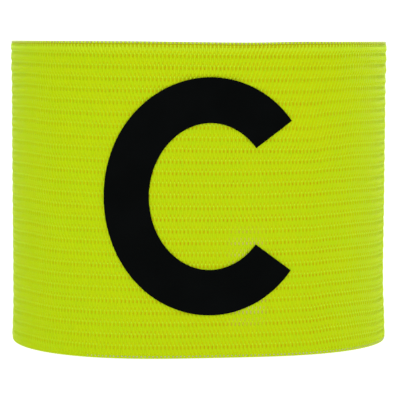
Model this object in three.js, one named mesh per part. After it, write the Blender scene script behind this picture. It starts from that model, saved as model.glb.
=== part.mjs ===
// A captain's armband: a wide loop of ribbed elastic that stands on its lower rim, with a plain letter C
// on its front. Sizes are in millimetres. +Z is up, +X runs across the loop's width and the front faces
// -Y.
import * as THREE from "three";

// The loop, measured over the crests of its ribs
const LOOP_WIDTH = 100;
const LOOP_DEPTH = 80;
const BAND_HEIGHT = 80;
const BAND_THICKNESS = 1.8;

// The ribs that run round the band, and the woven edge beyond the last rib at each rim
const RIB_COUNT = 27;
const RIB_DEPTH = 0.4;
const RIM_EDGE_HEIGHT = 0.6;

// How far the wall sways in and out between its rims
const WALL_SWAY = 0.3;

// The seam at the middle of the back, where one end of the strap lies on the other
const LAP_LENGTH = 18;
const LAP_STEP_LENGTH = 0.8;

// The letter on the middle of the front
const LETTER_OVAL_WIDTH = 54;
const LETTER_HEIGHT = 60;
const LETTER_STROKE = 11.5;
const LETTER_MOUTH_ANGLE = 40;
const LETTER_THICKNESS = 0.5;
const LETTER_CLEARANCE = 0.3;
const LETTER_CENTRE_HEIGHT = 41;

// How finely the curves are cut into faces
const LOOP_STATIONS = 52;
const LAP_STATIONS = 4;
const LETTER_STATIONS = 36;
const LETTER_STROKE_FACES = 4;
const MEASURING_STEPS = 1000;

// How the loop's outline from above departs from an even oval, as waves round it. Each row has a number
// of waves, and their heights as shares of the oval's reach. A crest of the even wave lies at the front,
// and a crest of the odd one a quarter of a wave to its right.
const PLAN_WAVES = [
  { waves: 0, even: 0.0175, odd: 0.0 },
  { waves: 1, even: 0.0, odd: -0.016 },
  { waves: 2, even: 0.0, odd: -0.022 },
  { waves: 3, even: -0.017, odd: -0.017 },
  { waves: 4, even: -0.015, odd: -0.007 },
  { waves: 5, even: -0.005, odd: 0.0 },
];

// How deep the woven edge lies below the crests, as a share of RIB_DEPTH
const RIM_EDGE_DEPTH = 0.4;

// One rib and the valley below it. A rib is fullest at its foot, and leans in towards its top. The rise is a
// share of the ribs' pitch, and the depth below the crest a share of RIB_DEPTH.
const RIB_PROFILE = [
  { rise: 0.0, depth: 0.6 },
  { rise: 0.24, depth: 1.0 },
  { rise: 0.44, depth: 0.0 },
];

// The wall's sway from the lower rim up. The height is a share of BAND_HEIGHT, and the distance outwards
// a share of WALL_SWAY.
const SWAY_PROFILE = [
  { height: 0.0, out: 1.0 },
  { height: 0.08, out: 0.3 },
  { height: 0.25, out: -0.6 },
  { height: 0.5, out: -0.2 },
  { height: 0.92, out: 0.1 },
  { height: 1.0, out: 0.8 },
];

// The loop's outline over the ribs' crests, from the middle of the front round by the right
class LoopOutline extends THREE.Curve {
  getPoint(share, target = new THREE.Vector3()) {
    const turn = 2 * Math.PI * share;
    const across = Math.sin(turn);
    const forward = Math.cos(turn);
    const oval = 1 / Math.hypot((2 * across) / LOOP_WIDTH, (2 * forward) / LOOP_DEPTH);
    const swell = PLAN_WAVES.reduce(
      (sum, row) => sum + row.even * Math.cos(row.waves * turn) + row.odd * Math.sin(row.waves * turn),
      0,
    );
    const reach = oval * (1 + swell);
    return target.set(reach * across, -reach * forward, 0);
  }
}

const loop = new LoopOutline();
loop.arcLengthDivisions = MEASURING_STEPS;
const loopLength = loop.getLength();

// The point at a distance round the loop from the middle of the front, at a height, and at a distance
// outside the ribs' crests
function pointOnLoop(distance, height, out) {
  const share = ((distance / loopLength) % 1 + 1) % 1;
  const along = loop.getTangentAt(share);
  const outwards = new THREE.Vector3(along.y, -along.x, 0);
  const point = loop.getPointAt(share);
  point.addScaledVector(outwards, out + swayAt(height));
  point.z = height;
  return point;
}

// The wall's sway at a height, straight from row to row
function swayAt(height) {
  const share = height / BAND_HEIGHT;
  const upper = Math.max(1, SWAY_PROFILE.findIndex((row) => row.height >= share));
  const low = SWAY_PROFILE[upper - 1];
  const high = SWAY_PROFILE[upper];
  const between = (share - low.height) / (high.height - low.height);
  return WALL_SWAY * THREE.MathUtils.lerp(low.out, high.out, between);
}

// A solid swept through sections that each hold the same number of points. A closed sweep is a ring. The
// sections of an open one are two matching chains, there and back, and its ends are closed by faces
// between them.
function sweptSolid(sections, closed) {
  const size = sections[0].length;
  const positions = sections.flat().flatMap((point) => point.toArray());
  const index = [];
  const quad = (a, b, c, d) => index.push(a, b, c, a, c, d);
  const spans = closed ? sections.length : sections.length - 1;
  for (let i = 0; i < spans; i++) {
    const here = i * size;
    const next = ((i + 1) % sections.length) * size;
    for (let k = 0; k < size; k++) {
      const up = (k + 1) % size;
      quad(here + k, next + k, next + up, here + up);
    }
  }
  if (!closed) {
    const last = (sections.length - 1) * size;
    for (let k = 0; k < size / 2 - 1; k++) {
      const back = size - 1 - k;
      quad(k, k + 1, back - 1, back);
      quad(last + back, last + back - 1, last + k + 1, last + k);
    }
  }
  const geometry = new THREE.BufferGeometry();
  geometry.setAttribute("position", new THREE.Float32BufferAttribute(positions, 3));
  geometry.setIndex(index);
  geometry.computeVertexNormals();
  return geometry;
}

// Evenly spread values from one to another, with both ends
function spread(from, to, spans) {
  return Array.from({ length: spans + 1 }, (_, i) => THREE.MathUtils.lerp(from, to, i / spans));
}

// The wall's section from the lower rim up its ribbed outside and down its plain inside
function wallSection(distance, lapRise) {
  const pitch = (BAND_HEIGHT - 2 * RIM_EDGE_HEIGHT) / RIB_COUNT;
  const outer = [{ height: 0, depth: RIM_EDGE_DEPTH }];
  for (let rib = 0; rib < RIB_COUNT; rib++) {
    for (const row of RIB_PROFILE) {
      outer.push({ height: RIM_EDGE_HEIGHT + (rib + row.rise) * pitch, depth: row.depth });
    }
  }
  outer.push({ height: BAND_HEIGHT - RIM_EDGE_HEIGHT, depth: RIB_PROFILE[0].depth });
  outer.push({ height: BAND_HEIGHT, depth: RIM_EDGE_DEPTH });
  return [
    ...outer.map((row) => pointOnLoop(distance, row.height, lapRise - row.depth * RIB_DEPTH)),
    pointOnLoop(distance, BAND_HEIGHT, -BAND_THICKNESS),
    pointOnLoop(distance, 0, -BAND_THICKNESS),
  ];
}

// The ribbed loop, with the lap's outer end one thickness proud of the rest
function elasticBand() {
  const lapStart = (loopLength - LAP_LENGTH) / 2;
  const lapEnd = (loopLength + LAP_LENGTH) / 2;
  const singleStart = lapEnd + LAP_STEP_LENGTH;
  const singleEnd = loopLength + lapStart - LAP_STEP_LENGTH;
  const sections = [
    ...spread(singleStart, singleEnd, LOOP_STATIONS).map((distance) => wallSection(distance, 0)),
    ...spread(lapStart, lapEnd, LAP_STATIONS).map((distance) => wallSection(distance, BAND_THICKNESS)),
  ];
  const mesh = new THREE.Mesh(
    sweptSolid(sections, true),
    new THREE.MeshStandardMaterial({ color: 0xbbd00e, roughness: 0.85, metalness: 0 }),
  );
  mesh.name = "elastic_band";
  return mesh;
}

// A plain bold C whose stroke follows an oval, centred on the front and just clear of the ribs' crests
function captainLetter() {
  const radiusAcross = (LETTER_OVAL_WIDTH - LETTER_STROKE) / 2;
  const radiusUp = (LETTER_HEIGHT - LETTER_STROKE) / 2;
  const strokePoint = (degrees, offset) => {
    const turn = THREE.MathUtils.degToRad(degrees);
    const middle = new THREE.Vector2(radiusAcross * Math.cos(turn), radiusUp * Math.sin(turn));
    const outwards = new THREE.Vector2(Math.cos(turn) / radiusAcross, Math.sin(turn) / radiusUp);
    return middle.addScaledVector(outwards.normalize(), offset);
  };
  const mouthReach = strokePoint(LETTER_MOUTH_ANGLE, LETTER_STROKE / 2).x;
  const shiftRight = (LETTER_OVAL_WIDTH / 2 - mouthReach) / 2;
  const chain = (degrees, out) =>
    spread(LETTER_STROKE / 2, -LETTER_STROKE / 2, LETTER_STROKE_FACES).map((offset) => {
      const point = strokePoint(degrees, offset);
      return pointOnLoop(point.x + shiftRight, point.y + LETTER_CENTRE_HEIGHT, out);
    });
  const sections = spread(LETTER_MOUTH_ANGLE, 360 - LETTER_MOUTH_ANGLE, LETTER_STATIONS).map((degrees) => [
    ...chain(degrees, LETTER_CLEARANCE + LETTER_THICKNESS),
    ...chain(degrees, LETTER_CLEARANCE).reverse(),
  ]);
  const mesh = new THREE.Mesh(
    sweptSolid(sections, false),
    new THREE.MeshStandardMaterial({ color: 0x0b0b0b, roughness: 0.6, metalness: 0 }),
  );
  mesh.name = "captain_letter";
  return mesh;
}

// The origin is the middle of the whole armband's footprint, on the surface that its lower rim stands on
const pieces = new THREE.Group();
pieces.add(elasticBand(), captainLetter());
const footprint = new THREE.Box3().setFromObject(pieces).getCenter(new THREE.Vector3());
pieces.position.set(-footprint.x, -footprint.y, 0);

const armband = new THREE.Group();
armband.add(pieces);

export default armband;
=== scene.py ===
"""A captain's armband: a standing loop of ribbed woven elastic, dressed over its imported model.

All lengths are in metres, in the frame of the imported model: +Z is up, +X runs across the loop's width and
the front faces -Y.
"""

import logging
import math
from dataclasses import dataclass, field
from enum import Enum
from typing import Iterable, Sequence

import bpy
import numpy as np
from mathutils import Euler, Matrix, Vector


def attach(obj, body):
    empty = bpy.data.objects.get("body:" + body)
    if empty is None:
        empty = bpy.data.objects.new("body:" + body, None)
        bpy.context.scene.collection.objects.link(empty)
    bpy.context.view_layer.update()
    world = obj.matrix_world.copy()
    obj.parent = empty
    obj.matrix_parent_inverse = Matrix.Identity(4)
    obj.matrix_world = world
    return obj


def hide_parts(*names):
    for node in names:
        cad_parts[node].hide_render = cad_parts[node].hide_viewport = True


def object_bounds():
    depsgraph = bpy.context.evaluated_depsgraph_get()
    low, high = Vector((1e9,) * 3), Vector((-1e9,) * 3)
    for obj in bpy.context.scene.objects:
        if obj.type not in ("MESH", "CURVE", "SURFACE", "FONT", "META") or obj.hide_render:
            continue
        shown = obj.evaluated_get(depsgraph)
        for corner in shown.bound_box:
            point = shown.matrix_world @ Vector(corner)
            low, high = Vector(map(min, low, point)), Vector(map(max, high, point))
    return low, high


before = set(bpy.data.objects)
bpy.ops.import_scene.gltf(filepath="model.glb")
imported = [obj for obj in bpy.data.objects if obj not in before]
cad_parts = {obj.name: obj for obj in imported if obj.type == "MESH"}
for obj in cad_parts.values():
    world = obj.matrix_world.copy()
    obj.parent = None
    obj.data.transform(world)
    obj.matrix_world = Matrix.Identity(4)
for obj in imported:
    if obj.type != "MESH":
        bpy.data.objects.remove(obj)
CAD_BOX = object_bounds()
MM = 0.001

logging.basicConfig(level=logging.INFO, format="%(message)s")
log = logging.getLogger("armband")


class Rim(Enum):
    """The two woven edges of the band."""

    LOWER = "lower"
    UPPER = "upper"


class Face(Enum):
    """The two faces of the wall, with the way that each looks."""

    OUTER = 1
    INNER = -1


def smooth_step(low: float, high: float, value: np.ndarray) -> np.ndarray:
    """Rises evenly from 0 at low to 1 at high, flat at both ends."""
    share = np.clip((value - low) / (high - low), 0.0, 1.0)
    return share * share * (3.0 - 2.0 * share)


def blend_weights(places: np.ndarray, marks: Sequence[float]) -> np.ndarray:
    """Shares that blend smoothly between neighbouring marks.

    Args:
        places: The places to blend at.
        marks: Rising marks; a place beyond the outermost takes that one alone.

    Returns:
        One share for each place and mark, with the marks on the last axis.
    """
    rises = [np.ones_like(places)]
    for low, high in zip(marks, marks[1:]):
        rises.append(smooth_step(low, high, places))
    rises.append(np.zeros_like(places))
    return np.stack([here - after for here, after in zip(rises, rises[1:])], axis=-1)


@dataclass(frozen=True)
class Ripple:
    """A gentle irregularity that repeats round the loop, made of a few waves with fixed phases."""

    waves: tuple[int, ...]
    seed: int

    def at(self, turn: np.ndarray, row: np.ndarray) -> np.ndarray:
        """The ripple's height, from about -1 to 1.

        Args:
            turn: Places round the loop, from 0 to 1.
            row: The rib, or another number that sets the ripple apart from its neighbours.

        Returns:
            One height for each place.
        """
        random = np.random.default_rng(self.seed)
        total = np.zeros(np.broadcast(turn, row).shape)
        for count in self.waves:
            phase, drift = random.uniform(0.0, 2.0 * math.pi), random.uniform(0.5, 2.2)
            total = total + np.sin(2.0 * math.pi * count * turn + phase + drift * row)
        return total / math.sqrt(2.0 * len(self.waves))


@dataclass(frozen=True)
class LoopForm:
    """The band's path and wall: where a place along it, up it and out of it lies."""

    width: float = 100.1 * MM
    depth: float = 80 * MM
    shift: float = -0.05 * MM
    height: float = 80 * MM
    thickness: float = 1.8 * MM
    rib_count: int = 27
    rib_depth: float = 0.2 * MM
    rim_edge: float = 0.6 * MM
    sway: float = 0.3 * MM
    lap_length: float = 18 * MM
    lap_step: float = 0.8 * MM
    thread_pitch: float = 1.0 * MM
    # A number of waves round the loop, and the heights of its even and odd parts as shares of the oval
    plan_waves: tuple[tuple[int, float, float], ...] = (
        (0, 0.0175, 0.0),
        (1, 0.0, -0.016),
        (2, 0.0, -0.022),
        (3, -0.017, -0.017),
        (4, -0.015, -0.007),
        (5, -0.005, 0.0),
    )
    # Height as a share of the band's, and distance outwards as a share of the sway
    sway_rows: tuple[tuple[float, float], ...] = (
        (0.0, 1.0),
        (0.08, 0.3),
        (0.15, -0.35),
        (0.25, -0.6),
        (0.5, -0.2),
        (0.875, 0.05),
        (0.9, 0.45),
        (0.96, 0.5),
        (1.0, 0.55),
    )
    # Height as a share of the band's, and how far the whole loop stands to the right there
    lean_rows: tuple[tuple[float, float], ...] = ((0.0, 0.15 * MM), (0.1, 0.15 * MM), (0.2, 0.0), (1.0, 0.0))
    # Rise as a share of a rib's pitch, and depth below the crest as a share of the ribs' depth
    rib_rows: tuple[tuple[float, float], ...] = (
        (0.0, 0.85),
        (0.14, 1.0),
        (0.26, 0.85),
        (0.38, 0.35),
        (0.48, 0.06),
        (0.62, 0.0),
        (0.8, 0.14),
        (0.92, 0.5),
        (1.0, 0.85),
    )
    # A place counted in ribs, and the ribs' depth there as a share: the upper ribs are less stretched
    depth_rows: tuple[tuple[float, float], ...] = ((0.0, 0.7), (20.0, 0.7), (24.0, 1.3), (27.0, 1.3))
    # How far the stretched ribs stray from level at these distances round the front, in ribs
    drift_places: tuple[float, ...] = (
        -0.100, -0.061, -0.052, -0.037, -0.022, 0.012, 0.029, 0.036, 0.044, 0.058, 0.100
    )
    drift_rows: tuple[tuple[float, tuple[float, ...]], ...] = (
        (0.0, (-0.08, -0.08, -0.08, -0.08, -0.08, -0.08, -0.08, -0.07, -0.05, -0.08, -0.08)),
        (0.6, (-0.10, -0.20, -0.12, -0.20, -0.24, -0.24, -0.24, -0.12, -0.08, -0.20, -0.10)),
        (3.0, (0.0, -0.33, -0.20, -0.28, -0.26, -0.27, -0.25, -0.08, -0.10, -0.30, 0.0)),
        (7.0, (0.0, -0.18, -0.11, -0.20, -0.18, -0.27, -0.22, -0.12, -0.11, -0.20, 0.0)),
        (11.0, (0.0, -0.08, 0.02, -0.15, -0.14, -0.25, -0.22, -0.13, -0.07, -0.16, 0.0)),
        (15.0, (0.0, 0.07, 0.14, -0.04, -0.10, -0.23, -0.14, -0.05, -0.02, -0.09, 0.0)),
        (19.0, (0.0, 0.15, 0.16, -0.02, -0.12, -0.30, -0.38, -0.15, 0.01, -0.03, 0.0)),
        (23.0, (0.0, 0.12, 0.21, 0.04, -0.06, -0.20, -0.18, -0.06, 0.03, 0.02, 0.0)),
        (26.0, (0.0, 0.14, 0.10, 0.01, -0.05, -0.15, -0.12, -0.12, -0.01, 0.03, 0.0)),
        (27.0, (-0.16, -0.16, -0.16, -0.16, -0.18, -0.27, -0.19, -0.17, -0.16, -0.16, -0.16)),
    )
    # How far the floats lean to the right at these distances round the front, in degrees
    slant_places: tuple[float, ...] = (-0.060, -0.044, -0.030, -0.015, 0.0, 0.015, 0.030, 0.044, 0.060)
    slant_rows: tuple[tuple[float, tuple[float, ...]], ...] = (
        (2.5, (0, -2, -3, -5, -8, -8, -5, -3, 0)),
        (6.5, (0, -2, -4, -3, -2, -2, 0, 0, 1)),
        (11.0, (-2, -5, -7, -3, -2, -4, 0, 0, 1)),
        (15.0, (-2, -4, -6, -3, -2, -2, 5, 3, 1)),
        (19.0, (-1, -3, -8, -6, -1, 5, 17, 8, 0)),
        (22.5, (0, -7, -8, -6, -1, 11, 19, 13, 4)),
        (26.0, (4, -2, -6, -4, 1, 15, 9, 5, 2)),
    )
    # Distances round the front, and how far the upper rim dips there
    rim_places: tuple[float, ...] = (-90 * MM, -64 * MM, -22 * MM, 12 * MM, 30 * MM, 64 * MM, 90 * MM)
    rim_dips: tuple[float, ...] = (0.5 * MM, 0.0, 0.05 * MM, 0.3 * MM, 0.05 * MM, 0.0, 0.5 * MM)
    table: dict[str, np.ndarray] = field(default_factory=dict)

    def __post_init__(self) -> None:
        """Walks once round the outline and keeps its places, its outward directions and its length."""
        steps = 7200
        turn = np.linspace(0.0, 2.0 * math.pi, steps + 1)
        across, forward = np.sin(turn), np.cos(turn)
        oval = 1.0 / np.hypot(2.0 * across / self.width, 2.0 * forward / self.depth)
        swell = sum(even * np.cos(n * turn) + odd * np.sin(n * turn) for n, even, odd in self.plan_waves)
        x, y = oval * (1.0 + swell) * across, -oval * (1.0 + swell) * forward
        gone = np.concatenate([[0.0], np.cumsum(np.hypot(np.diff(x), np.diff(y)))])
        ahead = np.stack([np.gradient(x, gone), np.gradient(y, gone)])
        ahead[:, 0] = ahead[:, -1] = (ahead[:, 1] + ahead[:, -2]) / 2.0
        ahead /= np.hypot(*ahead)
        low, high = CAD_BOX
        back = float(y.max()) + self.thickness + self.sway
        middle = (float(x.max()) + float(x.min())) / 2.0
        self.table.update(
            gone=gone,
            x=x - middle + (low.x + high.x) / 2.0 + self.shift,
            y=y + high.y - back,
            out_x=ahead[1],
            out_y=-ahead[0],
        )

    @property
    def length(self) -> float:
        """The outline's length over the ribs' crests."""
        return float(self.table["gone"][-1])

    @property
    def threads(self) -> int:
        """How many thread pitches go round the loop, an even number so that the weave closes."""
        return 2 * round(self.length / self.thread_pitch / 2)

    @property
    def rib_pitch(self) -> float:
        """The height of one rib and its valley."""
        return (self.height - 2 * self.rim_edge) / self.rib_count

    def sway_at(self, height: np.ndarray) -> np.ndarray:
        """How far the wall sways outwards at a height."""
        shares, outs = zip(*self.sway_rows)
        return self.sway * np.interp(height / self.height, shares, outs)

    def relief(self, rib: np.ndarray) -> np.ndarray:
        """How deep the ribbed face lies below the crests, at a place counted in ribs from the lowest."""
        rises, depths = zip(*self.rib_rows)
        inside = (rib >= 0.0) & (rib <= self.rib_count)
        share = np.where(inside, np.interp(rib % 1.0, rises, depths), 0.55)
        return self.rib_depth * share * np.interp(rib, *zip(*self.depth_rows))

    def looked_up(
        self,
        along: np.ndarray,
        rib: np.ndarray,
        places: Sequence[float],
        rows: Sequence[tuple[float, tuple[float, ...]]],
    ) -> np.ndarray:
        """Values from a table that is laid over the front.

        Args:
            along: Distances round the loop.
            rib: Places counted in ribs from the lowest.
            places: The table's distances round the front.
            rows: The table's ribs, each with one value for every distance.

        Returns:
            Smoothly blended values.
        """
        along, rib = np.broadcast_arrays(along, rib)
        from_front = np.mod(along + self.length / 2.0, self.length) - self.length / 2.0
        marks, values = zip(*rows)
        here = blend_weights(from_front, places) @ np.array(values, dtype=float).T
        return np.sum(here * blend_weights(rib, marks), axis=-1)

    def drift(self, along: np.ndarray, rib: np.ndarray) -> np.ndarray:
        """How far the ribs stray upwards from level, in ribs."""
        return self.looked_up(along, rib, self.drift_places, self.drift_rows)

    def slant(self, along: np.ndarray, rib: np.ndarray) -> np.ndarray:
        """How far the floats lean, in radians."""
        return np.radians(self.looked_up(along, rib, self.slant_places, self.slant_rows))

    def level(self, along: np.ndarray, rib: np.ndarray) -> np.ndarray:
        """The height of a place that is counted in ribs from the lowest rib's foot."""
        return self.rim_edge + (rib + self.drift(along, rib)) * self.rib_pitch

    def rib_at(self, along: np.ndarray, height: np.ndarray) -> np.ndarray:
        """The rib count at a height, which undoes level closely enough for the relief."""
        rib = (height - self.rim_edge) / self.rib_pitch
        return rib - self.drift(along, rib)

    def rim_level(self, along: np.ndarray, below: np.ndarray) -> np.ndarray:
        """The height of a place at a distance below the upper rim, which dips a little here and there."""
        from_front = np.mod(along + self.length / 2.0, self.length) - self.length / 2.0
        dip = blend_weights(from_front, self.rim_places) @ np.array(self.rim_dips)
        return self.height - below - dip

    def lap_rise(self, along: np.ndarray) -> np.ndarray:
        """How far the strap's outer end stands proud where it lies on the other end."""
        from_middle = np.abs(np.mod(along, self.length) - self.length / 2.0)
        half = self.lap_length / 2.0
        return self.thickness * (1.0 - smooth_step(half, half + self.lap_step, from_middle))

    def place(self, along: np.ndarray, height: np.ndarray, out: np.ndarray) -> np.ndarray:
        """Places on or near the wall.

        Args:
            along: Distances round the loop from the middle of the front, towards the right.
            height: Heights over the surface that the band stands on.
            out: Distances outside the crest line.

        Returns:
            The places, with a last axis of x, y and z.
        """
        along, height, out = np.broadcast_arrays(along, height, out)
        gone = np.mod(along, self.length)
        x, y, out_x, out_y = (
            np.interp(gone, self.table["gone"], self.table[name]) for name in ("x", "y", "out_x", "out_y")
        )
        reach = out + self.sway_at(height)
        lean = np.interp(height / self.height, *zip(*self.lean_rows))
        return np.stack([x + out_x * reach + lean, y + out_y * reach, height], axis=-1)


class Graph:
    """A material's node tree, with short ways to add maths, ramps and noise to it."""

    def __init__(self, name: str) -> None:
        """Makes an empty material with a Principled shader."""
        self.material = bpy.data.materials.new(name)
        self.material.use_nodes = True
        self.tree = self.material.node_tree
        self.tree.nodes.clear()
        self.output = self.tree.nodes.new("ShaderNodeOutputMaterial")
        self.shader = self.tree.nodes.new("ShaderNodeBsdfPrincipled")
        self.tree.links.new(self.shader.outputs[0], self.output.inputs["Surface"])

    def put(self, socket: bpy.types.NodeSocket, value: object) -> None:
        """Links an output to a socket, or sets the socket to a plain value."""
        if isinstance(value, bpy.types.NodeSocket):
            self.tree.links.new(value, socket)
        else:
            socket.default_value = value

    def maths(self, operation: str, *values: object) -> bpy.types.NodeSocket:
        """One step of arithmetic.

        Args:
            operation: A Math node's operation.
            values: Its inputs in order, each a number or another node's output.

        Returns:
            The result's socket.
        """
        node = self.tree.nodes.new("ShaderNodeMath")
        node.operation = operation
        for socket, value in zip(node.inputs, values):
            self.put(socket, value)
        return node.outputs[0]

    def mix(self, share: object, low: object, high: object) -> bpy.types.NodeSocket:
        """Blends two colours by a share from 0 to 1."""
        node = self.tree.nodes.new("ShaderNodeMix")
        node.data_type = "RGBA"
        self.put(node.inputs["Factor"], share)
        self.put(node.inputs["A"], low)
        self.put(node.inputs["B"], high)
        return node.outputs["Result"]

    def band(self, value: object, low: float, high: float, start: float = 0.0, end: float = 1.0) -> object:
        """Maps a value's stretch from low to high, smoothly, onto start to end."""
        node = self.tree.nodes.new("ShaderNodeMapRange")
        node.interpolation_type = "SMOOTHSTEP"
        for socket, number in zip(node.inputs[:5], (value, low, high, start, end)):
            self.put(socket, number)
        return node.outputs[0]

    def uv(self, layer: str, scale: tuple[float, float, float] = (1.0, 1.0, 1.0)) -> bpy.types.NodeSocket:
        """A piece's own UV map, scaled."""
        source = self.tree.nodes.new("ShaderNodeUVMap")
        source.uv_map = layer
        mapping = self.tree.nodes.new("ShaderNodeMapping")
        mapping.inputs["Scale"].default_value = scale
        self.tree.links.new(source.outputs[0], mapping.inputs["Vector"])
        return mapping.outputs[0]

    def object_place(self) -> bpy.types.NodeSocket:
        """The piece's Object coordinates."""
        return self.tree.nodes.new("ShaderNodeTexCoord").outputs["Object"]

    def split(self, vector: bpy.types.NodeSocket) -> tuple[bpy.types.NodeSocket, bpy.types.NodeSocket]:
        """The first two parts of a vector."""
        node = self.tree.nodes.new("ShaderNodeSeparateXYZ")
        self.tree.links.new(vector, node.inputs[0])
        return node.outputs[0], node.outputs[1]

    def third(self, vector: bpy.types.NodeSocket) -> bpy.types.NodeSocket:
        """The third part of a vector."""
        node = self.tree.nodes.new("ShaderNodeSeparateXYZ")
        self.tree.links.new(vector, node.inputs[0])
        return node.outputs[2]

    def noise(self, vector: bpy.types.NodeSocket, scale: float, detail: float = 2.0) -> bpy.types.NodeSocket:
        """A noise pattern's value."""
        node = self.tree.nodes.new("ShaderNodeTexNoise")
        self.put(node.inputs["Vector"], vector)
        node.inputs["Scale"].default_value = scale
        node.inputs["Detail"].default_value = detail
        return node.outputs["Fac"]

    def attribute(self, name: str) -> bpy.types.NodeSocket:
        """A number kept on the mesh."""
        node = self.tree.nodes.new("ShaderNodeAttribute")
        node.attribute_name = name
        return node.outputs["Fac"]

    def calm(self) -> bpy.types.NodeSocket:
        """How calm the weave is: most at the left, less at the right edge and least in the middle."""
        x, _ = self.split(self.object_place())
        left = self.band(x, -36.0 * MM, -4.0 * MM, 1.0, 0.15)
        return self.maths("MAXIMUM", left, self.band(x, 26.0 * MM, 44.0 * MM, 0.15, 0.7))

    def less(self, share: float) -> bpy.types.NodeSocket:
        """A factor that falls from 1 by a share where the weave is calm."""
        return self.maths("MULTIPLY_ADD", self.calm(), -share, 1.0)

    def bump(self, height: bpy.types.NodeSocket, strength: float, distance: float) -> None:
        """Raises the shader's surface by a pattern."""
        node = self.tree.nodes.new("ShaderNodeBump")
        node.inputs["Strength"].default_value = strength
        node.inputs["Distance"].default_value = distance
        self.tree.links.new(height, node.inputs["Height"])
        self.tree.links.new(node.outputs[0], self.shader.inputs["Normal"])

    def dress(self, **sockets: object) -> bpy.types.Material:
        """Sets the shader's sockets by name, with _ for a space, and gives the material."""
        for name, value in sockets.items():
            self.put(self.shader.inputs[name.replace("_", " ")], value)
        return self.material


def sheet_of(
    name: str,
    places: np.ndarray,
    weave: np.ndarray,
    close_rows: bool,
    close_columns: bool,
) -> bpy.types.Object:
    """Makes a mesh from a grid of places, with a UV map called Weave.

    Args:
        name: The piece's name.
        places: Grid of points, rows by columns by three.
        weave: Grid of UV pairs with one row and one column more where the grid closes there.
        close_rows: Whether the last row joins the first.
        close_columns: Whether the last column joins the first.

    Returns:
        The piece.
    """
    rows, columns = places.shape[:2]
    row_spans = rows if close_rows else rows - 1
    column_spans = columns if close_columns else columns - 1
    r, c = np.meshgrid(np.arange(row_spans), np.arange(column_spans), indexing="ij")
    r2, c2 = (r + 1) % rows, (c + 1) % columns
    corners = np.stack([r * columns + c, r2 * columns + c, r2 * columns + c2, r * columns + c2], axis=-1)
    mesh = bpy.data.meshes.new(name)
    mesh.from_pydata(places.reshape(-1, 3).tolist(), [], corners.reshape(-1, 4).tolist())
    layer = mesh.uv_layers.new(name="Weave")
    uv = np.stack([weave[r, c], weave[r + 1, c], weave[r + 1, c + 1], weave[r, c + 1]], axis=2)
    layer.data.foreach_set("uv", uv.astype(np.float32).ravel())
    mesh.update()
    piece = bpy.data.objects.new(name, mesh)
    bpy.context.collection.objects.link(piece)
    return piece


def deselect_all() -> None:
    """Leaves nothing selected, so that the next operator acts on its own piece alone."""
    bpy.ops.object.select_all(action="DESELECT")


def smooth(piece: bpy.types.Object, degrees: float = 60.0) -> None:
    """Shades a piece smoothly, except over edges sharper than the angle."""
    deselect_all()
    piece.select_set(True)
    bpy.context.view_layer.objects.active = piece
    bpy.ops.object.shade_smooth_by_angle(angle=math.radians(degrees))


@dataclass
class Strand:
    """A short strand that is modelled once, one unit long, wide and proud, and then laid many times."""

    sides: int
    rings: int
    fullness: float
    belly: float = 0.0

    def model(self) -> tuple[np.ndarray, np.ndarray, list[list[int]]]:
        """Shapes a sphere into a spindle that stands on Z and swells towards -Y.

        Returns:
            The vertices, their UVs as turns round and shares up the strand, and the faces.
        """
        deselect_all()
        bpy.ops.mesh.primitive_uv_sphere_add(
            segments=self.sides, ring_count=self.rings, radius=0.5, location=(0.0, 0.0, 0.0)
        )
        strand = bpy.context.object
        bpy.ops.object.mode_set(mode="EDIT")
        bpy.ops.mesh.select_all(action="SELECT")
        bpy.ops.mesh.normals_make_consistent(inside=False)
        bpy.ops.object.mode_set(mode="OBJECT")
        points = np.array([vertex.co[:] for vertex in strand.data.vertices])
        points[:, :2] = np.stack([-points[:, 1], points[:, 0]], axis=-1)
        faces = [list(face.vertices) for face in strand.data.polygons]
        bpy.data.objects.remove(strand, do_unlink=True)
        rise = points[:, 2] * 2.0
        radius = np.hypot(points[:, 0], points[:, 1])
        full = np.where(radius > 1e-6, (0.5 / np.maximum(radius, 1e-6)) ** self.fullness, 1.0)
        points[:, :2] *= full[:, None]
        points[:, 2] = 0.5 * np.sign(rise) * np.abs(rise) ** (1.0 - 0.35 * self.fullness)
        points[:, 1] -= self.belly * (1.0 - rise**2)
        turns = np.arctan2(points[:, 1], points[:, 0]) / (2.0 * math.pi) + 0.5
        return points, np.stack([turns, points[:, 2] + 0.5], axis=-1), faces


@dataclass
class Laying:
    """Where each copy of a strand goes: its middle, its slant and its size, one entry for each copy.

    The tint runs from 0 to 1; below zero it is the tint of a strand without the painted highlight on its
    upper tip.
    """

    along: np.ndarray
    height: np.ndarray
    out: np.ndarray
    slant: np.ndarray
    width: np.ndarray
    rise: np.ndarray
    proud: np.ndarray
    tint: np.ndarray

    def chosen(self, mask: np.ndarray) -> "Laying":
        """The copies that a mask picks."""
        return Laying(*(getattr(self, name)[mask] for name in self.__dataclass_fields__))

    def beside(self, other: "Laying") -> "Laying":
        """These copies and another laying's."""
        names = self.__dataclass_fields__
        return Laying(*(np.concatenate([getattr(self, name), getattr(other, name)]) for name in names))


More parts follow.
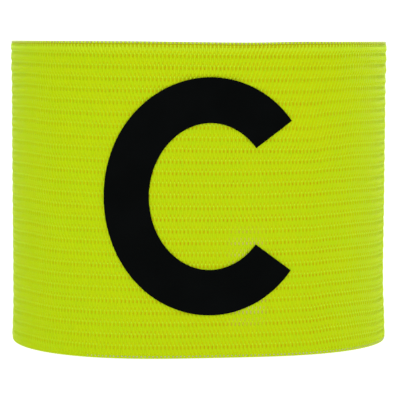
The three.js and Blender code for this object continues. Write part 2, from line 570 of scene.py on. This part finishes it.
def lay_strands(
    name: str,
    form: LoopForm,
    strand: Strand,
    laying: Laying,
    material: bpy.types.Material,
    face: Face = Face.OUTER,
    sunk: bool = False,
) -> bpy.types.Object:
    """Copies a strand to every place of a laying and joins the copies into one piece.

    Args:
        name: The piece's name.
        form: The band that they lie on.
        strand: The strand to copy.
        laying: The copies' places and sizes.
        material: The strands' finish.
        face: The face of the wall that they lie on.
        sunk: Whether they dip with the ribs' valleys.

    Returns:
        The piece.
    """
    points, uv, faces = strand.model()
    across = points[:, 0][None, :] * laying.width[:, None]
    up = points[:, 2][None, :] * laying.rise[:, None]
    lean = np.tan(laying.slant)[:, None]
    along = laying.along[:, None] + across + up * lean
    height = laying.height[:, None] + up
    out = laying.out[:, None] - face.value * points[:, 1][None, :] * laying.proud[:, None] * 2.0
    if sunk:
        out = out - face.value * form.relief(form.rib_at(along, height))
    places = form.place(along, height, out)
    count, size = places.shape[:2]
    corners = [np.array(corner[:: face.value]) for corner in faces]
    mesh = bpy.data.meshes.new(name)
    all_faces = []
    all_uv = []
    for copy in range(count):
        all_faces.extend((corner + copy * size).tolist() for corner in corners)
        all_uv.extend(uv[corner] for corner in corners)
    mesh.from_pydata(places.reshape(-1, 3).tolist(), [], all_faces)
    layer = mesh.uv_layers.new(name="Strand")
    layer.data.foreach_set("uv", np.concatenate(all_uv).astype(np.float32).ravel())
    tint = mesh.attributes.new("tint", "FLOAT", "POINT")
    tint.data.foreach_set("value", np.repeat(laying.tint, size).astype(np.float32))
    mesh.materials.append(material)
    mesh.update()
    piece = bpy.data.objects.new(name, mesh)
    bpy.context.collection.objects.link(piece)
    smooth(piece, 100.0)
    return piece


@dataclass(frozen=True)
class YarnFinish:
    """The band's neon polyester yarn: two twisted plies, each float a little limier or yellower."""

    name: str
    lime: tuple[float, float, float, float]
    yellow: tuple[float, float, float, float]
    # The colour of the painted highlights on the floats' upper tips and on the top ribs
    tip_highlight: tuple[float, float, float, float]
    roughness: float = 0.28
    sheen: float = 0.02
    specular: float = 0.045
    # Heights over which the top ribs are painted lighter towards the highlight colour, a painted highlight
    # from the light above
    top_highlight_from: tuple[float, float] = (76.0 * MM, 79.0 * MM)

    def material(self) -> bpy.types.Material:
        """Twisted filaments on a strand's own UV map, with its tint from the mesh."""
        graph = Graph(self.name)
        uv = graph.uv("Strand")
        turn, rise = graph.split(uv)
        twist = graph.maths("ADD", graph.maths("MULTIPLY", turn, 4.0), graph.maths("MULTIPLY", rise, 3.0))
        filament = graph.maths("PINGPONG", twist, 0.5)
        fine = graph.noise(graph.uv("Strand", (6.0, 2.0, 1.0)), 3.0, 3.0)
        signed = graph.attribute("tint")
        tint = graph.maths("ABSOLUTE", signed)
        high = graph.third(graph.object_place())
        colour = graph.mix(tint, self.lime, self.yellow)
        # Painted highlight: the yarn grows lighter over the top ribs, towards the highlight colour
        colour = graph.mix(graph.band(high, *self.top_highlight_from, 0.0, 0.6), colour, self.tip_highlight)
        # Painted highlight: the upper tips of floats with a positive tint are lightened towards the highlight
        # colour
        lit = graph.maths("MULTIPLY", graph.band(rise, 0.72, 0.92), graph.maths("GREATER_THAN", signed, 0.0))
        colour = graph.mix(lit, colour, self.tip_highlight)
        shaded = graph.maths("MULTIPLY_ADD", filament, 0.10, 0.95)
        patchy = graph.maths("MULTIPLY_ADD", fine, 0.12, -0.06)
        strength = graph.maths("ADD", shaded, patchy)
        dark = graph.mix(1.0, colour, colour)
        node = dark.node
        node.blend_type = "MULTIPLY"
        graph.tree.links.new(strength, node.inputs["B"])
        graph.bump(graph.maths("ADD", filament, fine), 0.35, 0.05 * MM)
        return graph.dress(
            Base_Color=dark,
            Roughness=self.roughness,
            Sheen_Weight=self.sheen,
            Sheen_Roughness=0.3,
            Specular_IOR_Level=self.specular,
        )


@dataclass(frozen=True)
class GroundFinish:
    """The cloth under the floats, where the rubber threads show as rusty dots in rows along the valleys, with
    a painted shadow under the upper rim.
    """

    name: str
    yarn: tuple[float, float, float, float]
    shade: tuple[float, float, float, float]
    rubber: tuple[float, float, float, float]
    bare: tuple[float, float, float, float]
    gap: tuple[float, float, float, float]
    # The painted shadow of a dark line under the upper rim's loops
    rim_shadow: tuple[float, float, float, float]
    close: tuple[float, float, float, float]
    bare_patch: tuple[float, float]
    rib_count: int = 27
    # Where the two rows of dots lie in each rib's pitch, and half a dot's size in thread and rib pitches
    first_row: float = 0.01
    second_row: float = 0.40
    dot_width: float = 0.18
    dot_height: float = 0.2
    strength: float = 0.85
    hidden_from: tuple[float, float] = (34.0 * MM, 47.0 * MM)
    inside: bool = False

    def dots(self, graph: Graph, u: object, v: object, row: float, shift: float) -> object:
        """A row of rubber dots.

        Args:
            graph: The node tree.
            u: Thread pitches round the loop.
            v: Rib pitches up the band.
            row: The row's place in each rib's pitch, from 0 to 1.
            shift: How far the dots stand aside from the middle of the thread pitch.

        Returns:
            1 in the dots and 0 outside them.
        """
        lifted = graph.maths("SUBTRACT", v, row - 0.5)
        place = graph.maths("FRACT", graph.maths("ADD", u, shift))
        across = graph.maths("ABSOLUTE", graph.maths("SUBTRACT", place, 0.5))
        up = graph.maths("ABSOLUTE", graph.maths("SUBTRACT", graph.maths("FRACT", lifted), 0.5))
        wide = graph.maths("DIVIDE", across, self.dot_width)
        high = graph.maths("DIVIDE", up, self.dot_height)
        squares = graph.maths("ADD", graph.maths("POWER", wide, 2.0), graph.maths("POWER", high, 2.0))
        far = graph.maths("SQRT", squares)
        return graph.band(far, 0.55, 1.15, 1.0, 0.0)

    def material(self) -> bpy.types.Material:
        """Rows of dots over shaded yarn, on the ground's Weave map."""
        graph = Graph(self.name)
        uv = graph.uv("Weave")
        u, v = graph.split(uv)
        patches = graph.noise(graph.uv("Weave", (0.11, 0.7, 1.0)), 1.0, 2.0)
        fine = graph.noise(graph.uv("Weave", (2.0, 9.0, 1.0)), 2.0, 3.0)
        strong = self.dots(graph, u, v, self.first_row, 0.0)
        weak = self.dots(graph, u, v, self.second_row, 0.5)
        each = graph.noise(graph.uv("Weave", (1.3, 2.3, 1.0)), 1.0, 1.0)
        side = graph.maths("ABSOLUTE", graph.split(graph.object_place())[0])
        aside = graph.band(side, *self.hidden_from, self.strength, 0.5 * self.strength)
        seen = graph.maths("MULTIPLY", graph.band(each, 0.3, 0.6, 0.4, 1.0), aside)
        seen = graph.maths("MULTIPLY", seen, graph.less(0.4))
        strong = graph.maths("MULTIPLY", strong, graph.band(patches, 0.3, 0.6, 0.5, 1.0))
        strong = graph.maths("MULTIPLY", strong, seen)
        weak = graph.maths("MULTIPLY", weak, graph.band(patches, 0.4, 0.7, 0.3, 1.0))
        weak = graph.maths("MULTIPLY", weak, seen)
        mottled = graph.mix(graph.band(fine, 0.3, 0.7), self.yarn, self.shade)
        mottled = graph.mix(graph.maths("MULTIPLY", graph.calm(), 0.8), mottled, self.close)
        from_u = graph.maths("ABSOLUTE", graph.maths("SUBTRACT", u, self.bare_patch[0]))
        from_v = graph.maths("ABSOLUTE", graph.maths("SUBTRACT", v, self.bare_patch[1]))
        worn = graph.band(from_u, 2.0, 6.0, 0.9, 0.0)
        worn = graph.maths("MULTIPLY", worn, graph.band(from_v, 2.0, 5.0, 1.0, 0.0))
        colour = graph.mix(weak, mottled, graph.mix(worn, self.gap, self.bare))
        colour = graph.mix(strong, colour, graph.mix(worn, self.rubber, self.bare))
        # Painted shadow: from the top rib's end up into the rim rows the ground turns dark, as under the
        # upper rim's loops
        colour = graph.mix(graph.band(v, self.rib_count, self.rib_count + 0.06), colour, self.rim_shadow)
        colour = graph.mix(graph.band(v, self.rib_count + 0.25, self.rib_count + 0.45), colour, self.close)
        stroke = graph.maths("PINGPONG", graph.maths("MULTIPLY", u, 2.0 if self.inside else 3.0), 0.5)
        graph.bump(graph.maths("ADD", stroke, fine), 0.6 if self.inside else 0.3, 0.12 * MM)
        return graph.dress(
            Base_Color=colour,
            Roughness=0.6,
            Sheen_Weight=0.02,
            Sheen_Roughness=0.4,
            Specular_IOR_Level=0.02,
        )


@dataclass(frozen=True)
class TransferFinish:
    """A smooth black film pressed onto the cloth, a little uneven in its gloss over the ribs."""

    name: str
    colour: tuple[float, float, float, float] = (0.0010, 0.0014, 0.0014, 1.0)

    def material(self) -> bpy.types.Material:
        """Black with a faint tooth from the threads beneath."""
        graph = Graph(self.name)
        place = graph.object_place()
        tooth = graph.noise(place, 1400.0, 3.0)
        cloud = graph.noise(place, 90.0, 2.0)
        colour = graph.mix(graph.band(cloud, 0.3, 0.75), self.colour, (0.0018, 0.0023, 0.0024, 1.0))
        graph.bump(tooth, 0.25, 0.04 * MM)
        return graph.dress(
            Base_Color=colour,
            Roughness=graph.band(cloud, 0.2, 0.8, 0.58, 0.72),
            Specular_IOR_Level=0.02,
        )


@dataclass
class BandGround:
    """The ribbed cloth of the loop itself, closed over both rims, with the lap's step at the back."""

    form: LoopForm
    stations: int = 250
    lap_stations: int = 14
    rows_per_rib: int = 6
    inner_rows_per_rib: int = 4
    under_floats: float = 0.12 * MM

    def columns(self) -> np.ndarray:
        """Distances round the loop, closer together over the lap's two steps."""
        form = self.form
        half = form.lap_length / 2.0 + form.lap_step
        middle = form.length / 2.0
        single = np.linspace(middle + half, form.length + middle - half, self.stations)
        step = np.linspace(0.0, form.lap_step, 5)[1:]
        lap = np.linspace(step[-1], 2.0 * half - step[-1], self.lap_stations)
        lap = np.concatenate([step[:-1], lap, (2.0 * half - step[:-1])[::-1]])
        return np.concatenate([single, form.length + middle - half + lap])

    def build(self, outside: bpy.types.Material, inside: bpy.types.Material) -> bpy.types.Object:
        """Makes the ground as one closed sheet.

        Args:
            outside: The finish of the ribbed outside and the rims.
            inside: The finish of the inner face.

        Returns:
            The piece.
        """
        form = self.form
        along = self.columns()
        ribs = np.arange(form.rib_count * self.rows_per_rib + 1) / self.rows_per_rib
        inner_ribs = np.arange(form.rib_count * self.inner_rows_per_rib, -1, -1) / self.inner_rows_per_rib
        outer_out = -form.relief(ribs) - self.under_floats
        inner_out = -form.thickness + form.relief(inner_ribs) + self.under_floats
        rim_high = np.array([0.03, 0.12, 0.35]) * MM
        rim_out = np.array([-0.62, -0.4, -0.3]) * MM
        rim_in_out = np.array([-1.2, -1.4, -1.5]) * MM
        column = along[:, None]
        lower = np.broadcast_to(rim_high, (len(along), len(rim_high)))
        upper = form.rim_level(column, rim_high[None, :])
        outer = form.level(column, ribs[None, :])
        inner = form.level(column, inner_ribs[None, :])
        high = np.concatenate([lower, outer, upper[:, ::-1], upper, inner, lower[:, ::-1]], axis=1)
        out = np.concatenate([rim_out, outer_out, rim_out[::-1], rim_in_out, inner_out, rim_in_out[::-1]])
        # The rims' rows count on beyond the ribs, so that the finish can tell the edge from its top
        beyond = np.array([0.1, 0.3, 0.6])
        high_edge = form.rib_count + beyond
        count = np.concatenate([-beyond[::-1], ribs, high_edge, high_edge[::-1], inner_ribs, -beyond])
        outer_count = 2 * len(rim_high) + len(ribs)
        is_outer = (np.arange(len(out)) < outer_count).astype(float)
        rise = form.lap_rise(column) * is_outer[None, :]
        places = form.place(column, high, out[None, :] + rise)
        threads = along / form.length * form.threads
        threads = np.append(threads, threads[0] + form.threads)
        weave = np.stack(np.broadcast_arrays(threads[:, None], np.append(count, count[0])[None, :]), axis=-1)
        piece = sheet_of("band_ground", places, weave, True, True)
        mesh = piece.data
        mesh.materials.append(outside)
        mesh.materials.append(inside)
        columns = np.tile(np.arange(len(out)), len(along))
        mesh.polygons.foreach_set("material_index", (columns >= outer_count).astype(np.int32))
        smooth(piece, 70.0)
        return piece


@dataclass
class Weave:
    """The weft that covers the ribs: columns of upright floats, two to a thread pitch.

    One column's floats cross the ribs' crests, and the next column's cross the valleys between them.
    """

    form: LoopForm
    face: Face
    # Each column's place in the thread pitch, and where its floats start and end in ribs
    over_crest: tuple[float, float, float] = (0.5, 0.10, 0.93)
    over_valley: tuple[float, float, float] = (0.0, 0.46, 1.34)
    # Where the lowest floats start, and how far the highest ones reach beyond the top rib, in ribs
    at_rims: tuple[float, float] = (0.02, 0.15)
    float_width: float = 0.5 * MM
    float_proud: float = 0.1 * MM
    most_slant: float = 3.0
    seed: int = 27
    lean_ripple: Ripple = Ripple((7, 11, 17, 29), 5)
    tint_ripple: Ripple = Ripple((3, 5, 8, 13, 40), 8)

    def floats(self, ribs: Sequence[int], column: tuple[float, float, float]) -> Laying:
        """One column's float for each thread pitch on each rib, with a lean that drifts round the loop.

        Args:
            ribs: The ribs to cover, counted from the lowest; -1 stands for the rim's own half float.
            column: The column's place in the pitch, and its floats' start and end.

        Returns:
            The floats' places.
        """
        form = self.form
        place, start, end = column
        # Floats over the valleys get a positive tint, and with it the painted highlight on their upper tips
        crossing = 1.0 if column is self.over_valley else -1.0
        random = np.random.default_rng(self.seed + ribs[0] + round(10 * place))
        thread, rib = (grid.ravel().astype(float) for grid in np.meshgrid(np.arange(form.threads), ribs))
        pitch = form.length / form.threads
        turn = thread / form.threads
        count = len(thread)
        along = (thread + place + random.normal(0.0, 0.02, count)) * pitch
        lowest, beyond = self.at_rims
        top = np.minimum(rib + end, form.rib_count + beyond)
        foot = np.maximum(rib + start, lowest)
        if column is self.over_crest:
            foot = np.where(rib == 0, lowest, foot)
        low, high = form.level(along, foot), form.level(along, top)
        lean = self.lean_ripple.at(turn, rib) + random.normal(0.0, 0.25, count)
        tint = 0.5 + 0.3 * self.tint_ripple.at(turn, rib) + random.normal(0.0, 0.16, count)
        surface = form.lap_rise(along) if self.face is Face.OUTER else np.full(count, -form.thickness)
        return Laying(
            along=along,
            height=(low + high) / 2.0 + random.normal(0.0, 0.02, count) * MM,
            out=surface - self.face.value * self.float_proud,
            slant=form.slant(along, rib) + np.radians(self.most_slant) * lean,
            width=self.float_width * random.uniform(0.92, 1.08, count),
            rise=(high - low) * random.uniform(0.98, 1.03, count),
            proud=self.float_proud * random.uniform(0.9, 1.08, count),
            tint=crossing * np.clip(tint, 0.02, 1.0),
        )

    def build(
        self, material: bpy.types.Material, pieces: int, sides: int, rings: int
    ) -> list[bpy.types.Object]:
        """Lays every float.

        Args:
            material: The yarn's finish.
            pieces: How many meshes share the ribs.
            sides: How many sides a float has.
            rings: How many rings of faces a float has along it.

        Returns:
            The pieces.
        """
        strand = Strand(sides=sides, rings=rings, fullness=0.4)
        made = []
        for index, ribs in enumerate(np.array_split(np.arange(self.form.rib_count), pieces)):
            name = f"floats_{self.face.name.lower()}_{index + 1}"
            lowest = [-1] if ribs[0] == 0 else []
            valleys = self.floats([*lowest, *ribs], self.over_valley)
            laying = self.floats(ribs, self.over_crest).beside(valleys)
            made.append(lay_strands(name, self.form, strand, laying, material, self.face, sunk=True))
        return made


@dataclass
class RimEdge:
    """One rim's woven edge: a row of small loops where the weft turns, over a clear catch thread."""

    form: LoopForm
    rim: Rim
    loop_width: float = 0.92 * MM
    loop_height: float = 0.62 * MM
    loop_depth: float = 0.72 * MM
    loop_in: float = 0.18 * MM
    catch_level: float = 0.33 * MM
    catch_out: float = -0.3 * MM
    catch_width: float = 0.46 * MM
    catch_height: float = 0.24 * MM
    seed: int = 41
    # Distances round the front, and how much of the catch thread shows there at either rim
    shown_places: tuple[float, ...] = (
        -90 * MM, -50 * MM, -32 * MM, -18 * MM, 0.0, 12 * MM, 26 * MM, 44 * MM, 90 * MM
    )
    shown: dict[Rim, tuple[float, ...]] = field(
        default_factory=lambda: {
            Rim.LOWER: (0.0, 0.0, 0.0, 1.0, 0.7, 0.4, 0.8, 0.5, 0.0),
            Rim.UPPER: (0.0, 0.3, 1.0, 1.0, 1.0, 1.0, 1.0, 0.5, 0.0),
        }
    )

    def level(self, along: np.ndarray, from_edge: float) -> np.ndarray:
        """Heights at a distance inside this rim's edge."""
        inside = np.full_like(along, from_edge)
        return inside if self.rim is Rim.LOWER else self.form.rim_level(along, inside)

    def row(
        self, from_edge: float, shift: float, out: float, width: float, rise: float, proud: float
    ) -> Laying:
        """A level row of small strands.

        Args:
            from_edge: The row's distance inside the edge.
            shift: How far the row is moved along, in thread pitches.
            out: How far its strands' middles lie outside the crest line.
            width: Each strand's width.
            rise: Each strand's height.
            proud: How far each stands out.

        Returns:
            The row's places.
        """
        form = self.form
        random = np.random.default_rng(self.seed + round(from_edge * 1e6))
        count = form.threads
        along = (np.arange(count) + shift + random.normal(0.0, 0.05, count)) * form.length / count
        spread = random.uniform(0.92, 1.08, count)
        return Laying(
            along=along,
            height=self.level(along, from_edge),
            out=out + form.lap_rise(along),
            slant=random.normal(0.0, 0.08, count),
            width=width * spread,
            rise=np.full(count, rise),
            proud=proud * spread,
            tint=np.clip(random.normal(0.35, 0.2, count), 0.0, 1.0),
        )

    def loops(self) -> Laying:
        """Two loops side by side over the wall's edge, and four where the wall is double."""
        form = self.form
        from_edge = self.loop_height / 2.0 + 0.01 * MM
        half = self.loop_depth / 2.0
        outer_out = -self.loop_in - half
        inner_out = -form.thickness - outer_out
        outer = self.row(from_edge, 0.0, outer_out, self.loop_width, self.loop_height, half)
        inner = self.row(from_edge, 0.0, inner_out, self.loop_width, self.loop_height, half)
        rise = form.lap_rise(outer.along)
        inner.out = inner.out - rise
        lap = rise > 0.9 * form.thickness
        between = (inner.chosen(lap), outer.chosen(lap))
        between[0].out = between[0].out + form.thickness
        between[1].out = between[1].out - form.thickness
        return outer.beside(inner).beside(between[0]).beside(between[1])

    def build(self, yarn: bpy.types.Material, catch: bpy.types.Material) -> list[bpy.types.Object]:
        """Lays the loops and the catch thread.

        Args:
            yarn: The loops' finish.
            catch: The catch thread's finish.

        Returns:
            The pieces.
        """
        name = self.rim.value
        bead = Strand(sides=6, rings=4, fullness=0.2)
        dot = Strand(sides=4, rings=3, fullness=0.2)
        loops = self.loops()
        dots = self.row(self.catch_level, 0.5, self.catch_out, self.catch_width, self.catch_height, 0.13 * MM)
        length = self.form.length
        from_front = np.mod(dots.along + length / 2.0, length) - length / 2.0
        share = blend_weights(from_front, self.shown_places) @ np.array(self.shown[self.rim])
        dots.width = dots.width * (0.4 + 0.6 * share)
        dots = dots.chosen(share > 0.15)
        return [
            lay_strands(f"rim_loops_{name}", self.form, bead, loops, yarn),
            lay_strands(f"catch_thread_{name}", self.form, dot, dots, catch),
        ]


@dataclass
class LapSeam:
    """Two rows of zigzag stitching that hold the strap's outer end down at the back."""

    form: LoopForm
    from_end: float = 3.2 * MM
    zig_height: float = 1.35 * MM
    zig_width: float = 2.4 * MM
    rim_margin: float = 1.6 * MM

    def laying(self, face: Face) -> Laying:
        """Places of the stitches on one face of the wall.

        Args:
            face: The face.

        Returns:
            The stitches' places.
        """
        form = self.form
        count = int((form.height - 2.0 * self.rim_margin) / self.zig_height)
        index = np.arange(count)
        height = self.rim_margin + (index + 0.5) * self.zig_height
        side = np.where(index % 2 == 0, 1.0, -1.0)
        offsets = (form.lap_length / 2.0 - self.from_end) * np.array([-1.0, 1.0])
        along = (form.length / 2.0 + offsets)[:, None] + np.zeros(count)[None, :]
        slant = np.arctan2(self.zig_width * side, self.zig_height)
        on_face = form.thickness + 0.05 * MM
        out = np.full(count, on_face if face is Face.OUTER else -form.thickness - 0.05 * MM)
        random = np.random.default_rng(12)
        size = 2 * count
        return Laying(
            along=along.ravel(),
            height=np.tile(height, 2),
            out=np.tile(out, 2),
            slant=np.tile(slant, 2) + random.normal(0.0, 0.03, size),
            width=np.full(size, 0.62 * MM),
            rise=np.full(size, self.zig_height * 1.12),
            proud=np.full(size, 0.2 * MM),
            tint=np.clip(random.normal(0.25, 0.1, size), 0.0, 1.0),
        )

    def build(self, material: bpy.types.Material) -> list[bpy.types.Object]:
        """Lays the stitches on both faces."""
        stitch = Strand(sides=6, rings=6, fullness=0.5, belly=0.1)
        return [
            lay_strands(
                f"seam_stitches_{face.name.lower()}", self.form, stitch, self.laying(face), material, face
            )
            for face in Face
        ]


@dataclass
class CaptainLetter:
    """The letter C: one thin film whose stroke follows an oval and lies down on the ribs."""

    form: LoopForm
    oval_width: float = 54 * MM
    height: float = 60 * MM
    stroke: float = 11.5 * MM
    mouth_degrees: float = 40.0
    centre_height: float = 41 * MM
    film_out: float = 0.34 * MM
    film_in: float = 0.05 * MM
    stations: int = 260
    stroke_columns: int = 30

    def stroke_place(self, degrees: np.ndarray, offset: np.ndarray) -> tuple[np.ndarray, np.ndarray]:
        """Places on the flat letter.

        Args:
            degrees: Angles round the oval from the right.
            offset: Distances outside the stroke's middle line.

        Returns:
            Distances along the band and heights, from the letter's middle.
        """
        across = (self.oval_width - self.stroke) / 2.0
        up = (self.height - self.stroke) / 2.0
        turn = np.radians(degrees)
        out_x, out_z = np.cos(turn) / across, np.sin(turn) / up
        size = np.hypot(out_x, out_z)
        return across * np.cos(turn) + offset * out_x / size, up * np.sin(turn) + offset * out_z / size

    def build(self, material: bpy.types.Material) -> bpy.types.Object:
        """Makes the film as a closed sheet that is pressed a little into the valleys.

        Args:
            material: The film's finish.

        Returns:
            The piece.
        """
        form = self.form
        reach, _ = self.stroke_place(np.array(self.mouth_degrees), np.array(self.stroke / 2.0))
        shift = (self.oval_width / 2.0 - float(reach)) / 2.0
        degrees = np.linspace(self.mouth_degrees, 360.0 - self.mouth_degrees, self.stations)
        front = np.linspace(0.5, -0.5, self.stroke_columns) * self.stroke
        edge = 0.12 * MM
        ends = np.clip(np.minimum(np.arange(self.stations), np.arange(self.stations)[::-1]) / 2.0, 0.0, 1.0)
        side = np.clip((self.stroke / 2.0 - np.abs(front)) / edge, 0.0, 1.0)
        along, high = self.stroke_place(degrees[:, None], front[None, :])
        high = high + self.centre_height
        pressed = 0.3 * form.relief((high - form.rim_edge) / form.rib_pitch)
        lip = 0.1 * MM * (1.0 - side[None, :] * ends[:, None])
        film = form.place(along + shift, high, self.film_out - pressed - lip)
        under = form.place(along + shift, high, np.full_like(high, self.film_in))[:, ::-1]
        loops = np.concatenate([film, under], axis=1)
        weave = np.zeros((self.stations, loops.shape[1] + 1, 2))
        piece = sheet_of("captain_letter_film", loops, weave, False, True)
        self.close_ends(piece, loops.shape[1])
        piece.data.materials.append(material)
        smooth(piece, 50.0)
        return piece

    def close_ends(self, piece: bpy.types.Object, size: int) -> None:
        """Closes the stroke's two ends.

        Args:
            piece: The film, whose sections hold size points each.
            size: Points in a section, there and back.
        """
        deselect_all()
        piece.select_set(True)
        bpy.context.view_layer.objects.active = piece
        last = (self.stations - 1) * size
        for first in (0, last):
            for vertex in piece.data.vertices:
                vertex.select = first <= vertex.index < first + size
            bpy.ops.object.mode_set(mode="EDIT")
            bpy.ops.mesh.select_mode(type="VERT")
            bpy.ops.mesh.edge_face_add()
            bpy.ops.mesh.select_all(action="DESELECT")
            bpy.ops.object.mode_set(mode="OBJECT")
        bpy.ops.object.mode_set(mode="EDIT")
        bpy.ops.mesh.select_all(action="SELECT")
        bpy.ops.mesh.normals_make_consistent(inside=False)
        bpy.ops.object.mode_set(mode="OBJECT")


@dataclass
class Studio:
    """A plain pale floor, soft light, and the camera at the photograph's place."""

    form: LoopForm
    frame_pixels: int = 400
    sensor: float = 36.0
    focal_pixels: float = 2000.0
    camera_back: float = 540.8 * MM
    camera_right: float = 0.32 * MM
    camera_height: float = 80.3 * MM
    pitch_down: float = 0.0799
    roll: float = 0.003

    def build(self) -> None:
        """Lays the floor and sets the light and the camera."""
        self.floor()
        self.light()
        self.camera()

    def floor(self) -> None:
        """A wide pale floor under the lower rim."""
        deselect_all()
        bpy.ops.mesh.primitive_plane_add(size=8.0, location=(0.0, 0.0, -0.0002))
        floor = bpy.context.object
        floor.name = "studio_floor"
        graph = Graph("studio_floor")
        finish = graph.dress(
            Base_Color=(0.3, 0.3, 0.3, 1.0),
            Roughness=0.9,
            Specular_IOR_Level=0.0,
            Emission_Color=(1.0, 1.0, 1.0, 1.0),
            Emission_Strength=0.9,
        )
        floor.data.materials.append(finish)
        bpy.ops.mesh.primitive_plane_add(
            size=8.0, location=(0.0, 3.9, 0.0), rotation=(math.radians(90.0), 0.0, 0.0)
        )
        wall = bpy.context.object
        wall.name = "studio_wall"
        wall.data.materials.append(finish)

    def light(self) -> None:
        """Even white light from all round, two soft panels in front and one low behind at each side."""
        world = bpy.data.worlds.new("studio")
        world.use_nodes = True
        world.node_tree.nodes["Background"].inputs["Color"].default_value = (1.0, 1.0, 1.0, 1.0)
        world.node_tree.nodes["Background"].inputs["Strength"].default_value = 0.8
        bpy.context.scene.world = world
        panels = (
            ("panel_above", (0.0, -0.45, 0.95), (25.0, 0.0, 0.0), 0.9, 1.2),
            ("panel_front", (0.0, -1.3, 0.25), (85.0, 0.0, 0.0), 0.8, 2.6),
            ("panel_left", (-1.1, 0.9, 0.45), (-72.0, 0.0, 50.0), 0.8, 4.0),
            ("panel_right", (1.1, 0.9, 0.45), (-72.0, 0.0, -50.0), 0.8, 7.0),
        )
        for name, place, turn, size, power in panels:
            bpy.ops.object.light_add(
                type="AREA", location=place, rotation=tuple(math.radians(angle) for angle in turn)
            )
            panel = bpy.context.object
            panel.name = name
            panel.data.size = size
            panel.data.energy = power

    def camera(self) -> None:
        """A long lens, a little above the upper rim, that looks slightly down at the front."""
        level = math.pi / 2.0 - self.pitch_down
        bpy.ops.object.camera_add(location=(self.camera_right, -self.camera_back, self.camera_height))
        camera = bpy.context.object
        camera.name = "photo_camera"
        turn = Euler((level, 0.0, 0.0)).to_matrix() @ Euler((0.0, 0.0, self.roll)).to_matrix()
        camera.rotation_euler = turn.to_euler()
        camera.data.sensor_width = self.sensor
        camera.data.lens = self.sensor * self.focal_pixels / self.frame_pixels
        scene = bpy.context.scene
        scene.camera = camera
        scene.view_settings.view_transform = "Standard"


def main() -> None:
    """Builds and dresses the armband, then the studio."""
    form = LoopForm()
    # The third colour is the painted highlight on the floats' upper tips and on the top ribs
    lime, yellow, tip_highlight = (0.47, 0.675, 0.002, 1.0), (0.51, 0.66, 0.001, 1.0), (0.56, 0.79, 0.025, 1.0)
    yarn = YarnFinish("neon_yarn", lime, yellow, tip_highlight).material()
    grey, lilac = (0.46, 0.44, 0.38, 1.0), (0.54, 0.50, 0.50, 1.0)
    catch = YarnFinish("clear_catch_thread", grey, lilac, lilac).material()
    colours = {
        "yarn": (0.49, 0.60, 0.002, 1.0),
        "shade": (0.52, 0.57, 0.001, 1.0),
        "gap": (0.46, 0.40, 0.002, 1.0),
        "rubber": (0.50, 0.29, 0.002, 1.0),
        "bare": (0.58, 0.46, 0.30, 1.0),
        "rim_shadow": (0.39, 0.39, 0.002, 1.0),
        "close": (0.465, 0.62, 0.002, 1.0),
        "bare_patch": (form.threads + 12.6, 7.0),
        "rib_count": form.rib_count,
    }
    outside = GroundFinish("elastic_outside", **colours).material()
    inside = GroundFinish("elastic_inside", inside=True, **colours).material()

    ground = BandGround(form).build(outside, inside)
    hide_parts("elastic_band")
    cloth = Weave(form, Face.OUTER).build(yarn, 3, 5, 4)
    cloth += Weave(form, Face.INNER, seed=61).build(yarn, 2, 3, 3)
    lower = RimEdge(
        form,
        Rim.LOWER,
        catch_level=0.62 * MM,
        catch_out=-0.2 * MM,
        catch_width=0.56 * MM,
        catch_height=0.34 * MM,
    )
    for edge in (lower, RimEdge(form, Rim.UPPER)):
        cloth += edge.build(yarn, catch)
    cloth += LapSeam(form).build(yarn)
    for piece in (ground, *cloth):
        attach(piece, "root")

    letter = CaptainLetter(form).build(TransferFinish("black_transfer").material())
    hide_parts("captain_letter")
    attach(letter, "root")
    for piece in (ground, *cloth, letter):
        log.info("%s: %d faces", piece.name, len(piece.data.polygons))

    Studio(form).build()


if __name__ == "__main__":
    main()
